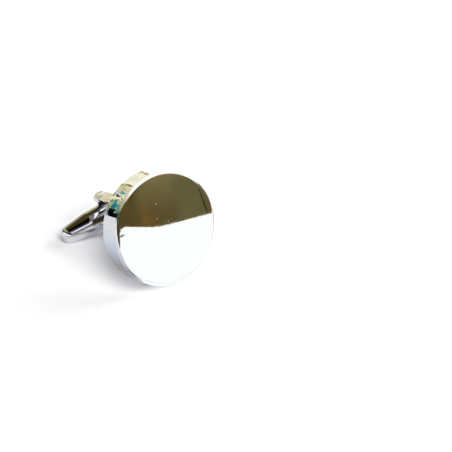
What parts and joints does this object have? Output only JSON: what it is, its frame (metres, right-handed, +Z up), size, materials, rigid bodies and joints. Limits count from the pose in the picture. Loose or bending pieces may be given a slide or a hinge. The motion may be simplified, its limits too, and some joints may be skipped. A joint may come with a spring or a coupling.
{
  "type": "cufflink",
  "caption": "Round mirror-faced cufflink with a forked post and a swivelling torpedo toggle that closes a shirt cuff.",
  "frame": {"origin": "middle of the bounding box in plan, on the table that the cufflink lies on", "axes": "+Z up from the table; +Y in plan from the mirror face to the toggle, so the face looks towards -Y and a little up; +X to the right of someone who looks at the face"},
  "size_m": [0.018, 0.0234, 0.0182],
  "materials": {
    "head_plating": "mirror polish",
    "frame_plating": "polished",
    "solder": "plated over, soft polish",
    "pin_plating": "polished",
    "toggle_plating": "polished"
  },
  "bodies": {
    "link": {"head_disc": "head_plating", "arm_frame": "frame_plating", "solder_fillet": "solder", "pivot_pin": "pin_plating"},
    "toggle": {"toggle_bar": "toggle_plating"}
  },
  "joints": [
    {"name": "toggle_pivot", "type": "hinge", "parent": "link", "child": "toggle", "pos_m": [0, 0.00932, 0.00364], "axis": [-0.2986, 0.3046, 0.9045], "continuous": true}
  ]
}
